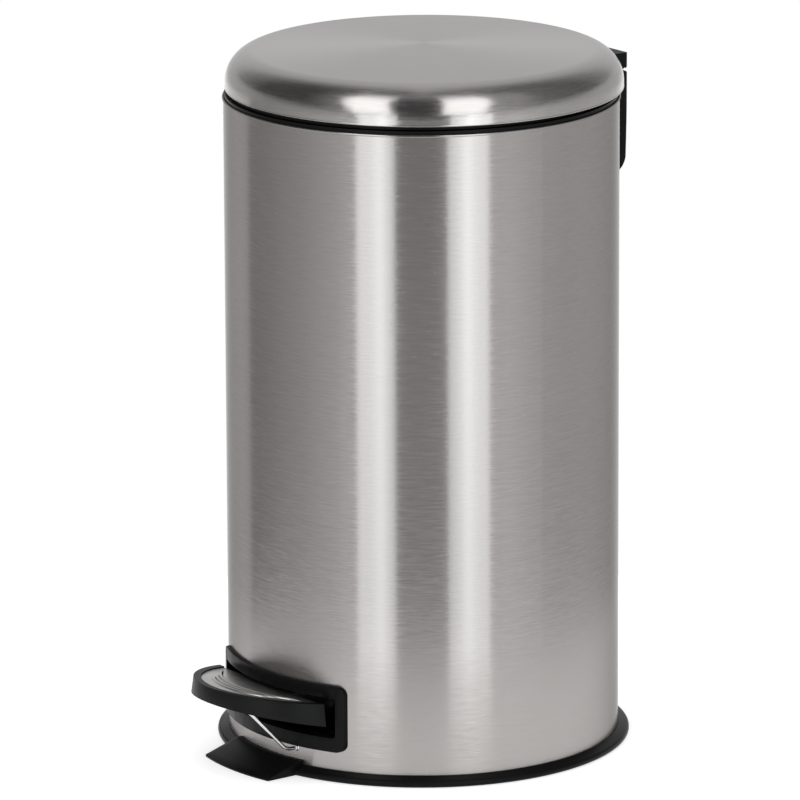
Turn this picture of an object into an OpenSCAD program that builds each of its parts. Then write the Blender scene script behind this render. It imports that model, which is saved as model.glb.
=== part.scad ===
// Round pedal bin: brushed steel body and lid, inner bucket, and a pedal that lifts the lid
// through a lever under the bucket and a push rod up the back of the body.
// Millimetres. +Z is up, the origin is on the floor at the body's axis, and the pedal faces -Y.

/* [Body] */
// Outer diameter of the steel body
body_d = 292; // [284:1:300]
// Height of the body's rolled top edge above the floor
body_top = 487; // [440:1:540]
// Thickness of the steel sheet
sheet = 0.8; // [0.6:0.1:1]
// Diameter of the rolled bead round the top edge
bead_d = 1.6; // [1.6:0.1:3]
// Height of the black ring that shows above the bead
rim_show = 2.7; // [2:0.1:3.5]
// Wall thickness of the moulded black parts
mould = 2.2; // [1.8:0.1:2.6]

/* [Base] */
// How far the base ring stands out from the body
base_lip = 8.4; // [6:0.1:10]
// Height of the base ring
base_h = 7.5; // [6:0.5:13]
// Radius of the base ring's outer edge
base_round = 2.8; // [2:0.1:3.5]
// Thickness of the base plate
plate_t = 2; // [1.5:0.1:3]
// Width of the foot in front of the base
foot_w = 80; // [60:1:100]
// How far the foot reaches in front of the body
foot_reach = 31; // [20:1:40]
// Height of the foot where it meets the body
foot_h = 10.5; // [8:0.5:12]
// Thickness of the foot's front edge
foot_edge = 1.8; // [1:0.1:3]

/* [Lid] */
// How far the lid's skirt stands out over the body's face
lid_over = 1; // [0.5:0.1:3]
// Distance of the lid's middle behind the body's axis
lid_back = 2.7; // [0:0.1:3]
// Gap between the body's bead and the lid's lower edge
lid_gap = 5.6; // [4.5:0.1:7]
// Height of the lid's straight skirt
lid_skirt = 5; // [4.6:0.2:8]
// Radius of the lid's shoulder
lid_shoulder = 23.5; // [20:0.5:28]
// Rise of the lid's crown above its shoulder
lid_crown = 4; // [1:0.5:6]
// How far the lid opens, in degrees
lid_open = 75; // [65:1:78]

/* [Hinge] */
// Width of the hinge cover
hinge_w = 86; // [80:1:100]
// How far the hinge cover stands out behind the body's face
hinge_out = 14.3; // [13:0.1:18]
// Height of the cap above the hinge axis
cap_h = 13; // [10:0.5:16]
// Height of the housing below the hinge axis
housing_h = 78; // [70:1:100]
// Radius of the housing's lower edge
housing_round = 14; // [10:0.5:16]
// How far the housing's back leans in towards its lower edge
housing_lean = 2.4; // [0:0.1:4]
// Diameter of the hinge pin
hinge_pin_d = 3; // [2.5:0.1:3.2]
// Outer radius of the hinge's knuckles
knuckle_r = 3.2; // [2.8:0.1:3.4]

/* [Linkage] */
// Distance from the hinge axis forward to the push rod
crank_reach = 20; // [18:0.5:21]
// Diameter of the push rod
rod_d = 5; // [4:0.5:5]
// Inner bend radius of the push rod
rod_bend = 3.5; // [2.5:0.5:4.5]
// Thickness of the lid's crank plate
crank_t = 2.5; // [2:0.1:3]
// Distance of the crank and the lever's cheeks from the middle of the bin
link_x = 11; // [10.5:0.5:12]
// Height of the lever's joint with the push rod, lid closed
rod_low = 12; // [11:0.5:14]
// Distance of the pedal's axle behind the body's front face
axle_in = 66; // [60:1:72]
// Height of the pedal's axle
axle_z = 42; // [40:0.5:43]
// Diameter of the pedal's axle
axle_d = 6; // [5:0.5:7]
// Thickness of the lever's steel
lever_t = 2; // [1.5:0.1:2.5]

/* [Pedal] */
// How far the pedal reaches in front of the body's face
pedal_reach = 50.5; // [42:0.5:56]
// Radius of the pedal's round front, at its top edge
pedal_r = 67; // [62:0.5:68]
// Height of the pedal's top edge at the body
pedal_top = 60.2; // [59:0.1:61]
// Rise of the pedal's top towards its front, in degrees
pedal_rise = 7.4; // [5:0.1:9]
// Depth of the pedal's skirt at the body
pedal_depth = 16.2; // [14:0.1:17]
// Rise of the skirt's lower edge towards the front, in degrees
skirt_rise = 12.4; // [10:0.1:14]
// How far the skirt leans in from its lower to its top edge
pedal_draft = 2.2; // [1:0.1:4]
// Width of the pedal's rim round the steel plate
pedal_rim = 5.9; // [4:0.1:7]
// Thickness of the pedal's steel plate
tread_t = 1.2; // [0.8:0.1:1.6]
// Number of raised ribs on the pedal's steel plate
tread_ribs = 3; // [2:1:4]
// Distance from one rib to the next
tread_pitch = 5; // [4:0.1:6]

/* [Pedal surround] */
// Width of the surround
bezel_w = 150; // [148:1:160]
// Height of the surround
bezel_h = 50.3; // [48:0.1:56]
// Height of the surround's lower edge above the floor
bezel_low = 21.5; // [19:0.5:23]
// How far the surround stands out from the body
bezel_t = 2.8; // [2:0.1:4]
// Corner radius of the surround
bezel_r = 6.5; // [4:0.5:9]
// Width of the opening for the pedal
slot_w = 137; // [134:1:138]
// Height of the opening's lower edge above the floor
slot_low = 32; // [30:0.5:33]
// Height of the opening's upper edge above the floor
slot_high = 62.5; // [62:0.5:66]
// Diameter of the pedal's spring wire
wire_d = 2.5; // [2:0.1:2.8]
// Distance of the spring wire from the middle of the bin
wire_x = 34; // [30:0.5:36]

/* [Bucket] */
// Width of the flange round the bucket's mouth
bucket_flange = 8.5; // [8:0.5:12]
// How far the bucket's wall leans in from its mouth to its floor
bucket_taper = 8.5; // [4:0.5:14]
// Height of the bucket's floor above the bin's floor
bucket_low = 62; // [58:1:80]
// Wall thickness of the bucket
bucket_t = 1.8; // [1.4:0.1:2.4]
// Radius of the edge round the bucket's floor
bucket_round = 12; // [8:1:20]
// Diameter of the bucket's wire bail
bail_d = 3; // [2.5:0.1:3.2]
// Outer diameter of the grip on the bail
grip_d = 6; // [5.5:0.1:6.4]

/* [Hidden] */
$fn = 96;

// Colours
steel = "#b9b6b3";
bright = "#d6d6d6";
black = "#1f1f20";
grey = "#4a4a4c";
rubber = "#2b2b2b";

// Clearances: running, between pieces of one body, and between bodies that pass each other
run = 0.05;
snug = 0.02;
pass = 0.4;
e = 0.01;

// Body
body_r = body_d / 2;
inner_r = body_r - sheet;
bead_r = inner_r + bead_d / 2;
bead_out = inner_r + bead_d;
base_r = body_r + base_lip;
shell_low = 3;
ring_flange = 8;
ring_top = 0.8;
flange_h = 4;
plate_top = flange_h + plate_t;
plate_rib_h = 2.5;
plate_rib_t = 2;
plate_ribs = 8;
plate_ring_r = inner_r - ring_flange - 5;
rib_low_r = 30;
base_screw_r = inner_r - 4.4;

// Lid, from its lower edge up
lid_r = body_r + lid_over;
lid_low = body_top + lid_gap;
lid_bend = lid_low + lid_skirt;
shoulder_top = lid_bend + lid_shoulder;
crown_r = lid_r - lid_shoulder;
hem_d = 1.8;
hem_out = 0.15;

// Hinge axis at the lid's lower edge, a little inside the cover's back
hinge_z = lid_low - 0.1;
hinge_inset = 3.6;
hinge_back = body_r + hinge_out;
cover_in = body_r - 20;
hinge_y = hinge_back - hinge_inset;
// Half of the notch between the cap and the housing, which leaves room past the full opening
notch = (lid_open + 6) / 2;
split = 0.5;
ear_in = 20;
ear_w = 8;
knuckle_gap = 0.3;
knuckle_w = 7.5;
pin_half = ear_in + ear_w + knuckle_gap + knuckle_w;
housing_wall = 4.6;
cover_corner = 3;
housing_screw_z = [hinge_z - 0.38 * housing_h, hinge_z - 0.74 * housing_h];
housing_screw_x = hinge_w / 2 - 11;
cap_screw_x = hinge_w / 2 - 13;
cap_screw_z = lid_bend + 3.2;

// Push rod: its travel follows the lid's angle at a constant rate, and the crank's slot takes up
// the difference from the crank's own arc
rod_y = hinge_y - crank_reach;
rod_rate = 1.122 * crank_reach;
rod_stroke = rod_rate * lid_open * PI / 180;
rod_top = hinge_z - rod_stroke / 2;
crank_slot_r = rod_d / 2 + 0.85;
crank_slot_in = crank_reach - 0.4;
crank_slot_out = norm([crank_reach, rod_stroke / 2]) + 0.4;
crank_end_r = crank_slot_r + 2.3;
crank_tab_t = 2;
crank_tab_in = rod_y - 24.7;
rod_bend_r = rod_bend + rod_d / 2;
clip_t = 1.2;
clip_r = rod_d / 2 + 2;
leg_end = link_x + crank_t / 2 + pass + clip_t + 1;
guide_w = 18;
guide_h = 14;
guide_depth = rod_d + 5;
guide_z = [0.31 * body_top, 0.7 * body_top];

// Room for the rod and the crank in the rim, the housing and the bucket's flange
link_lo = -rod_d / 2 - 2.5;
link_hi = leg_end + 1.5;
crank_lo = link_x - crank_t / 2 - 1.2;
crank_hi = link_x + crank_t / 2 + 1.2;

// Rim ring and bucket seat
rim_top = body_top + rim_show;
rim_skirt = 21;
deck_z = rim_top - 2.5;
seat_z = deck_z - 4.7;
flange_r = rod_y - rod_d / 2 - 1.2;
flange_t = 2.2;
seat_gap = 0.8;
seat_w = 7;
bucket_top = seat_z + flange_t;
bucket_r = flange_r - bucket_flange;
bucket_floor_r = bucket_r - bucket_taper;
bucket_notch_y = hinge_y - crank_slot_out - crank_end_r - 1;

// Lid liner
liner_low = rim_top + pass;
liner_disc = rim_top + 2.1;
liner_disc_t = 1.8;
liner_r = lid_r + hem_out - hem_d - lid_back - 0.3;
liner_rim = 2;
crank_tab_out = liner_r - liner_rim - 1.3;
liner_lock_z = lid_low + hem_d + 1.2;
liner_lock_t = 1.8;
liner_rings = [0.35 * liner_r, 0.55 * liner_r, 0.75 * liner_r];
buffer_r = 2.7;
buffer_at = (flange_r + seat_gap + liner_r - liner_rim - pass) / 2;
lock_r = lid_r - sheet;

// Bail
bail_z = bucket_top + grip_d / 2;
bail_r = bucket_r + 1;
bail_corner = 3;
lug_t = 2.4;
lug_x = bail_r + bail_corner + lug_t / 2 - 0.6;
lug_w = 8;
grip_half = 17;

// Lever
axle_y = body_r - axle_in;
lever_half = link_x + lever_t / 2;
ear_gap = 5;
bracket_in = lever_half + ear_gap;
bracket_t = 2;
bracket_w = 20;
bracket_foot = 11;
axle_half = bracket_in + bracket_t + 2.4;
lever_slot_r = rod_d / 2 + 0.5;
lever_arm = [rod_y + axle_y, rod_low - axle_z];
lever_arm_len = norm(lever_arm);
lever_arm_a = atan2(lever_arm[1], lever_arm[0]);
// Slot ends: the arm's length at rest, and where it is shortest with the lid open
lever_slot = [rod_y + axle_y - 0.6, lever_arm_len + 0.6];
lever_boss_r = axle_d / 2 + 3.5;
lever_end = [-axle_y, axle_z] + lever_slot[1] * [cos(lever_arm_a), sin(lever_arm_a)];
lever_end_r = lever_slot_r + 1.8;

// Pedal. Its round front is part of a cone whose axis stands pedal_mid behind the body's face
tread_sink = 0.8;
floor_t = 2;
skirt_t = 2.5;
pedal_back = 6;
pedal_mid = pedal_r - pedal_reach;
tread_r = pedal_r - pedal_rim;
rib_step_r = 8.4;
pedal_floor = pedal_top - tread_sink - tread_t - floor_t;
lever_front = pedal_reach - 17;
screw_y = [8, 24];
screw_x = 6;
rib_d = 2.4;
rib_edge = 10.2;
rib_half = 45;

// Spring wire: in through the body below the surround, then up at wire_rise to the pedal
wire_r = wire_d / 2;
wire_bend = 3.6;
wire_rise = 44;
wire_y = -body_r - 1.6;
wire_z = bezel_low - wire_r - 1.3;
wire_in = 28;
wire_up = 43;
wire_across = 9;
// Middle of the wire's cross leg, in Y and Z
wire_end = [
    wire_y - wire_bend * sin(wire_rise) - (wire_up + wire_bend) * cos(wire_rise),
    wire_z + wire_bend * (1 - cos(wire_rise)) + (wire_up + wire_bend) * sin(wire_rise)
];

// ---- Helpers ----

// Tube between two radii and two heights
module tube(ri, ro, lo, hi) {
    translate([0, 0, lo]) difference() {
        cylinder(r = ro, h = hi - lo);
        translate([0, 0, -1]) cylinder(r = ri, h = hi - lo + 2);
    }
}

// Rectangle with rounded corners, centred
module round_rect(w, h, r) {
    square([w - 2 * r, h], center = true);
    square([w, h - 2 * r], center = true);
    for (x = [-1, 1], y = [-1, 1])
        translate([x * (w / 2 - r), y * (h / 2 - r)]) circle(r);
}

// Slot along X between two centres
module slot_2d(x1, x2, r) {
    translate([x1, -r]) square([x2 - x1, 2 * r]);
    for (x = [x1, x2]) translate([x, 0]) circle(r);
}

// Prism along Y through the front wall, from a drawing in X and Z
module through_front(depth = 60) {
    translate([0, -body_r + depth / 2, 0]) rotate([90, 0, 0]) linear_extrude(depth) children();
}

// Plate from a drawing in Y and Z, centred at x
module plate_yz(x, t) {
    translate([x - t / 2, 0, 0]) rotate([90, 0, 90]) linear_extrude(t) children();
}

// Box from one corner to the other
module span(lo, hi) {
    translate(lo) cube(hi - lo);
}

// Straight stretch of round wire along +X, and what follows it
module straight(r, length) {
    rotate([0, 90, 0]) cylinder(r = r, h = length);
    translate([length, 0, 0]) children();
}

// Bend of round wire from +X towards +Y, and what follows it
module elbow(r, bend_r, angle = 90) {
    translate([0, bend_r, 0]) {
        rotate([0, 0, -90]) rotate_extrude(angle = angle) translate([bend_r, 0]) circle(r);
        rotate([0, 0, angle]) translate([0, -bend_r, 0]) children();
    }
}

// Pan-head screw along -Z with its head's underside at z = 0
module screw(d, length, head_d = 0, head_h = 2) {
    translate([0, 0, -length]) cylinder(d = d, h = length + e);
    difference() {
        cylinder(d = head_d > 0 ? head_d : 2 * d, h = head_h);
        for (a = [0, 90]) rotate([0, 0, a])
            translate([-d * 0.6, -0.35, head_h - 0.9]) cube([d * 1.2, 0.7, 2]);
    }
}

// ---- Body and base ----

module bead_2d() {
    translate([bead_r, body_top - bead_d / 2]) circle(d = bead_d);
}

module body_shell() {
    color(steel) difference() {
        union() {
            tube(inner_r, body_r, shell_low, body_top - bead_d / 2);
            rotate_extrude() bead_2d();
        }
        through_front() translate([0, (slot_low + slot_high) / 2])
            round_rect(slot_w + 2 * mould, slot_high - slot_low + 2 * mould, 5);
        // Hole for the spring wire
        translate([wire_x, -body_r + 20, wire_z]) rotate([90, 0, 0]) cylinder(d = wire_d + 2, h = 40);
        // Slot for the crank
        span([crank_lo, inner_r - 4, rod_top - crank_end_r - 3], [crank_hi, body_r + 8, body_top + 1]);
        housing_screws_at() rotate([90, 0, 0]) cylinder(d = 4, h = 40, center = true);
    }
}

// Outline of the base ring, whose lip slopes down from the body to a rounded outer edge
module lip_2d() {
    edge = [base_r - base_round, base_round];
    top = [body_r + ring_top, base_h];
    away = top - edge;
    turn = atan2(away[1], away[0]) - acos(base_round / norm(away));
    meet = edge + base_round * [cos(turn), sin(turn)];
    translate([inner_r - ring_flange, 0]) square([top[0] - inner_r + ring_flange, base_h]);
    polygon([[body_r, 0], [edge[0], 0], edge, meet, top, [body_r, base_h]]);
    translate(edge) circle(base_round);
}

module base_ring() {
    color(black) difference() {
        rotate_extrude() difference() {
            lip_2d();
            // Groove for the body, and room for the base plate
            translate([inner_r, shell_low]) square([sheet, base_h]);
            translate([0, flange_h]) square([inner_r + e, base_h]);
        }
        // Gap for the foot, outside the body
        intersection() {
            tube(body_r, base_r + 5, -1, base_h + 1);
            span([-foot_w / 2, -base_r - 5, -2], [foot_w / 2, 0, base_h + 2]);
        }
        for (p = base_screw_places()) translate([p[0], p[1], -1])
            cylinder(d = 3 + 2 * snug, h = flange_h + 2);
    }
}

function base_screw_places() = [for (a = [45:90:315]) base_screw_r * [cos(a), sin(a)]];

module base_plate() {
    color(black) difference() {
        union() {
            translate([0, 0, flange_h]) cylinder(r = inner_r, h = plate_t);
            // Ribs below, inside the base ring
            for (i = [1:plate_ribs]) rotate([0, 0, (i + 0.5) * 360 / plate_ribs])
                translate([rib_low_r + 1, -plate_rib_t / 2, flange_h - plate_rib_h])
                    cube([plate_ring_r - rib_low_r, plate_rib_t, plate_rib_h + 1]);
            for (r = [rib_low_r, plate_ring_r])
                tube(r, r + plate_rib_t, flange_h - plate_rib_h, flange_h + 1);
            // Post that holds the spring wire
            span([wire_x - 4, wire_y + wire_in - 8, flange_h + 1],
                 [wire_x + 4, wire_y + wire_in + 2, wire_z + 5]);
        }
        translate([wire_x, wire_y + wire_in, wire_z]) rotate([90, 0, 0])
            cylinder(r = wire_r + snug, h = wire_in);
        for (p = base_screw_places()) translate([p[0], p[1], 0]) cylinder(d = 3 + 2 * snug, h = 20);
        for (p = bracket_screw_places()) translate([p[0], p[1], 0]) cylinder(d = 4 + 2 * snug, h = 20);
    }
}

module base_screws() {
    color(bright) for (p = base_screw_places())
        translate([p[0], p[1], plate_top]) screw(3, plate_top - 0.8);
}

module stabiliser_foot() {
    r_out = body_r + foot_reach;
    color(black) intersection() {
        rotate_extrude()
            polygon([
                [body_r, 0], [r_out, 0], [r_out, foot_edge], [body_r + 2.5, foot_h], [body_r, foot_h]
            ]);
        span([-foot_w / 2, -r_out - 5, -1], [foot_w / 2, 0, foot_h + 1]);
    }
}

// ---- Pedal surround ----

module pedal_surround() {
    mid = bezel_low + bezel_h / 2;
    slot_mid = (slot_low + slot_high) / 2;
    slot_h = slot_high - slot_low;
    color(black) difference() {
        union() {
            intersection() {
                tube(body_r + snug, body_r + bezel_t, 0, bezel_low + bezel_h + 10);
                through_front() translate([0, mid]) round_rect(bezel_w, bezel_h, bezel_r);
            }
            // Lip through the body's wall
            intersection() {
                tube(body_r - 6, body_r + 2 * snug, 0, slot_high + 10);
                through_front() translate([0, slot_mid])
                    round_rect(slot_w + 2 * mould - 2 * snug, slot_h + 2 * mould - 2 * snug, 5 - snug);
            }
        }
        through_front(80) translate([0, slot_mid]) round_rect(slot_w, slot_h, 5 - mould);
    }
}

// ---- Axle and bracket ----

function bracket_screw_places() =
    [for (x = [-1, 1], y = [-1, 1]) [x * (bracket_in + bracket_t + bracket_foot / 2), -axle_y + y * 5.5]];

module axle_bracket() {
    foot_half = bracket_in + bracket_t + bracket_foot;
    color(bright) difference() {
        union() {
            span([-foot_half, -axle_y - bracket_w / 2, plate_top],
                 [foot_half, -axle_y + bracket_w / 2, plate_top + bracket_t]);
            for (s = [-1, 1]) plate_yz(s * (bracket_in + bracket_t / 2), bracket_t) {
                translate([-axle_y - bracket_w / 2, plate_top]) square([bracket_w, axle_z - plate_top]);
                translate([-axle_y, axle_z]) circle(bracket_w / 2);
            }
        }
        translate([-50, -axle_y, axle_z]) rotate([0, 90, 0]) cylinder(d = axle_d + 2 * snug, h = 100);
        for (p = bracket_screw_places()) translate([p[0], p[1], 0]) cylinder(d = 4 + 2 * snug, h = 20);
    }
}

module bracket_screws() {
    color(bright) for (p = bracket_screw_places()) translate([p[0], p[1], plate_top + bracket_t])
        screw(4, plate_t + bracket_t + 1.5, 7);
}

module pedal_axle() {
    color(bright) translate([-axle_half, -axle_y, axle_z]) rotate([0, 90, 0])
        cylinder(d = axle_d, h = 2 * axle_half);
}

module axle_clips() {
    color(bright) for (s = [-1, 1]) translate([s * (bracket_in + bracket_t + 0.6), -axle_y, axle_z])
        rotate([0, 90, 0]) difference() {
            cylinder(d = axle_d + 5, h = 1, center = true);
            cylinder(d = axle_d + 2 * snug, h = 3, center = true);
            translate([0, axle_d, 0]) cube([axle_d * 0.7, 2 * axle_d, 3], center = true);
        }
}

module axle_spacers() {
    length = ear_gap - pass;
    color("white") for (s = [-1, 1]) translate([s * (bracket_in - length / 2), -axle_y, axle_z])
        rotate([0, 90, 0]) difference() {
            cylinder(d = axle_d + 4, h = length, center = true);
            cylinder(d = axle_d + 2 * snug, h = length + 2, center = true);
        }
}

module return_spring() {
    color(bright) translate([wire_x, wire_y + wire_in, wire_z]) rotate([90, 0, -90])
        straight(wire_r, wire_in) elbow(wire_r, wire_bend, wire_rise)
        straight(wire_r, wire_up) rotate([90, 0, 0]) elbow(wire_r, wire_bend)
        straight(wire_r, wire_across);
}

// ---- Rod guides, rim, bucket ----

module rod_guides() {
    color(black) for (z = guide_z) translate([0, 0, z]) difference() {
        intersection() {
            cylinder(r = inner_r, h = guide_h);
            span([-guide_w / 2, rod_y - guide_depth / 2, 0], [guide_w / 2, inner_r + 1, guide_h]);
        }
        translate([0, rod_y, -1]) cylinder(d = rod_d + 2 * run, h = guide_h + 2);
    }
}

module rim_ring() {
    well_r = flange_r + seat_gap;
    color(black) difference() {
        rotate_extrude() polygon([
            [inner_r, rim_top - rim_skirt], [inner_r, rim_top], [inner_r - mould, rim_top],
            [inner_r - mould - 1.5, deck_z], [well_r, deck_z], [well_r, seat_z],
            [flange_r - seat_w, seat_z], [flange_r - seat_w, seat_z - mould],
            [well_r + mould, seat_z - mould], [well_r + mould, deck_z - mould],
            [inner_r - mould, deck_z - mould], [inner_r - mould, rim_top - rim_skirt]
        ]);
        span([link_lo, bucket_r - 10, rim_top - rim_skirt - 1], [link_hi, inner_r + 1, rim_top + 1]);
    }
}

module lid_buffers() {
    color(rubber) for (a = [30, 150, 270]) rotate([0, 0, a]) translate([buffer_at, 0, deck_z])
        cylinder(r = buffer_r, h = liner_disc - pass - deck_z);
}

module bucket() {
    wall_in = bucket_r - bucket_t;
    floor_in = bucket_floor_r - bucket_t;
    color(grey) difference() {
        union() {
            rotate_extrude() difference() {
                union() {
                    polygon([[0, bucket_low + bucket_round], [bucket_floor_r, bucket_low + bucket_round],
                             [bucket_r, bucket_top], [0, bucket_top]]);
                    square_foot(bucket_floor_r, bucket_low, bucket_round);
                    translate([0, seat_z]) square([flange_r, flange_t]);
                }
                polygon([[-1, bucket_low + bucket_round], [floor_in, bucket_low + bucket_round],
                         [wall_in, bucket_top + e], [-1, bucket_top + e]]);
                square_foot(floor_in, bucket_low + bucket_t, bucket_round - bucket_t);
            }
            // Lugs for the bail
            for (s = [-1, 1]) translate([s * lug_x - lug_t / 2, -lug_w / 2, seat_z])
                cube([lug_t, lug_w, bail_z + bail_d / 2 + 1.2 - seat_z]);
        }
        translate([-200, 0, bail_z]) rotate([0, 90, 0]) cylinder(d = bail_d + 2 * run, h = 400);
        // Flat behind, clear of the rod and the crank
        span([link_lo - 4, bucket_notch_y, seat_z - 1], [link_hi + 4, flange_r + 5, bucket_top + 1]);
    }
}

// Half outline of a floor with a rounded edge, up to the top of the rounding
module square_foot(r, z, round) {
    translate([0, z]) square([r - round, round + e]);
    intersection() {
        translate([r - round, z + round]) circle(round);
        translate([r - round, z]) square([round, round]);
    }
}

// Half circle in front of the bucket's axis, with both ends turned out through the lugs
module bucket_bail() {
    r = bail_d / 2;
    color(bright) translate([-flange_r, 0, bail_z])
        straight(r, flange_r - bail_r - bail_corner) mirror([0, 1, 0]) elbow(r, bail_corner)
        mirror([0, 1, 0]) elbow(r, bail_r, 180)
        mirror([0, 1, 0]) elbow(r, bail_corner) straight(r, flange_r - bail_r - bail_corner);
}

module bail_grip() {
    color(black) translate([0, -bail_corner, bail_z]) rotate([0, 0, 270 - grip_half])
        rotate_extrude(angle = 2 * grip_half) translate([bail_r, 0]) difference() {
            circle(d = grip_d);
            circle(d = bail_d + 2 * snug);
        }
}

// ---- Hinge ----

module housing_screws_at() {
    for (x = [-1, 1], z = housing_screw_z) translate([x * housing_screw_x, body_r - 4, z]) children();
}

// Side outline of the housing, in Y and Z: notched at the hinge axis, leaning in and rounded below
module housing_2d() {
    back_low = hinge_back - housing_lean;
    low = hinge_z - housing_h;
    mid = low + housing_round;
    polygon([
        [cover_in, hinge_z - split], [hinge_y, hinge_z - split], [hinge_y, hinge_z],
        [hinge_back, hinge_z - hinge_inset * tan(notch)], [back_low, mid],
        [back_low - housing_round, mid], [back_low - housing_round, low], [cover_in, low]
    ]);
    translate([back_low - housing_round, mid]) intersection() {
        circle(housing_round);
        translate([-e, -housing_round]) square([housing_round + e, housing_round]);
    }
}

module cover_prism(lo, hi) {
    translate([0, hinge_back - 40, lo]) linear_extrude(hi - lo)
        round_rect(hinge_w, 80, cover_corner);
}

module on_axis(x, w) {
    translate([x - w / 2, hinge_y, hinge_z]) rotate([0, 90, 0]) linear_extrude(w) children();
}

module hinge_housing() {
    ear_mid = ear_in + ear_w / 2;
    cap_mid = ear_in + ear_w + knuckle_gap + knuckle_w / 2;
    color(black) difference() {
        union() {
            intersection() {
                plate_yz(0, hinge_w) housing_2d();
                cover_prism(hinge_z - housing_h - 1, hinge_z + 5);
            }
            for (s = [-1, 1]) on_axis(s * ear_mid, ear_w) circle(knuckle_r);
        }
        translate([0, 0, hinge_z - 2 * housing_h]) cylinder(r = body_r + snug, h = 3 * housing_h);
        tube(body_r - 2, bead_out + 0.2, body_top - bead_d - 1, hinge_z + 10);
        // Hollow behind the crank, and room for the crank's eye
        span([-ear_in + pass, cover_in, hinge_z - housing_h + 12],
             [ear_in - pass, hinge_back - housing_wall, hinge_z + 5]);
        span([crank_lo, cover_in, hinge_z - 9], [crank_hi, hinge_y + 2.4, hinge_z + 5]);
        on_axis(link_x, crank_t + 2.4) circle(knuckle_r + pass);
        // Room for the cap's knuckles
        for (s = [-1, 1]) on_axis(s * cap_mid, knuckle_w + 2 * knuckle_gap) circle(knuckle_r + 0.3);
        on_axis(0, hinge_w + 2) circle(d = hinge_pin_d + 2 * snug);
        housing_screws_at() rotate([90, 0, 0]) cylinder(d = 3.5 + 2 * snug, h = 2 * 13, center = true);
    }
}

module hinge_pin() {
    color(bright) on_axis(0, 2 * pin_half) circle(d = hinge_pin_d);
}

module housing_screws() {
    head_y = sqrt(pow(inner_r, 2) - pow(housing_screw_x + 3.5, 2)) - 0.05;
    color(bright) for (x = [-1, 1], z = housing_screw_z)
        translate([x * housing_screw_x, head_y, z]) rotate([90, 0, 0]) screw(3.5, body_r + 8 - head_y);
}

// ---- Lid ----

// Half section of the lid's outside, for a skin set in by t
module lid_2d(t) {
    r = lid_shoulder - t;
    top = shoulder_top - t;
    low = t > 0 ? lid_low - 1 : lid_low + hem_d / 2;
    translate([0, low]) square([lid_r - t, lid_bend - low]);
    translate([0, lid_bend]) square([crown_r, r]);
    translate([crown_r, lid_bend]) intersection() {
        circle(r);
        square(r);
    }
    // Crown, drawn as a shallow arc
    n = 8;
    crown = [for (i = [0:n]) [crown_r * (1 - i / n), top + lid_crown * (1 - pow(1 - i / n, 2))]];
    polygon(concat([[0, lid_bend]], crown));
}

module hem_2d(grow) {
    translate([lid_r - hem_d / 2 + hem_out, lid_low + hem_d / 2]) circle(d = hem_d + 2 * grow);
}

module lid_shell() {
    color(steel) difference() {
        translate([0, lid_back, 0]) rotate_extrude() {
            difference() {
                lid_2d(0);
                lid_2d(sheet);
            }
            hem_2d(0);
        }
        cap_screws_at() rotate([90, 0, 0]) cylinder(d = 3.5, h = 30, center = true);
    }
}

module lid_liner() {
    top = liner_lock_z + liner_lock_t;
    color(black) difference() {
        union() {
            tube(liner_r - liner_rim, liner_r, liner_low, top);
            difference() {
                translate([0, lid_back, liner_lock_z]) cylinder(r = lock_r - snug, h = liner_lock_t);
                translate([0, 0, liner_lock_z - 1]) cylinder(r = liner_r - 0.1, h = liner_lock_t + 2);
            }
            translate([0, 0, liner_disc]) cylinder(r = liner_r - e, h = liner_disc_t);
            for (r = liner_rings) tube(r - 0.8, r + 0.8, liner_disc - 0.8, liner_disc + e);
        }
        // Slot for the crank
        span([crank_lo + 0.8, crank_tab_in + 14, liner_low - 1],
             [crank_hi - 0.8, lid_r + lid_back, liner_disc + liner_disc_t + 1]);
        crank_screws_at() cylinder(d = 4 + 2 * snug, h = 40, center = true);
    }
}

// Side outline of the cap, in Y and Z
module cap_2d() {
    top = hinge_z + cap_h;
    polygon([
        [cover_in, hinge_z + split], [hinge_y, hinge_z + split], [hinge_y, hinge_z],
        [hinge_back, hinge_z + hinge_inset * tan(notch)], [hinge_back, top - 1.5],
        [hinge_back - 1.5, top], [cover_in, top]
    ]);
}

module cap_screws_at() {
    for (x = [-1, 1]) translate([x * cap_screw_x, lid_r + lid_back - 4, cap_screw_z]) children();
}

module hinge_cap() {
    ear_mid = ear_in + ear_w / 2;
    cap_mid = ear_in + ear_w + knuckle_gap + knuckle_w / 2;
    color(black) difference() {
        union() {
            intersection() {
                plate_yz(0, hinge_w) cap_2d();
                cover_prism(hinge_z - 5, hinge_z + cap_h + 1);
            }
            for (s = [-1, 1]) on_axis(s * cap_mid, knuckle_w) circle(knuckle_r);
        }
        translate([0, lid_back, 0]) rotate_extrude() {
            lid_2d(-snug);
            hem_2d(snug);
            translate([0, hinge_z - 20]) square([lid_r, 20 + hem_d]);
        }
        // Room for the housing's ears and the crank
        for (s = [-1, 1]) on_axis(s * ear_mid, ear_w + 2 * knuckle_gap) circle(knuckle_r + 0.3);
        on_axis(link_x, crank_t + 2.4) circle(knuckle_r + pass);
        span([crank_lo, cover_in, hinge_z - 6], [crank_hi, hinge_y, hinge_z + 2.5]);
        on_axis(0, hinge_w + 2) circle(d = hinge_pin_d + 2 * run);
        cap_screws_at() rotate([90, 0, 0]) cylinder(d = 3 + 2 * snug, h = 2 * 11, center = true);
    }
}

module cap_screws() {
    head_y = lid_back + sqrt(pow(lid_r - sheet - 0.7, 2) - pow(cap_screw_x + 3, 2));
    color(bright) for (x = [-1, 1]) translate([x * cap_screw_x, head_y, cap_screw_z]) rotate([90, 0, 0])
        screw(3, lid_r + lid_back + 5 - head_y);
}

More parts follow.
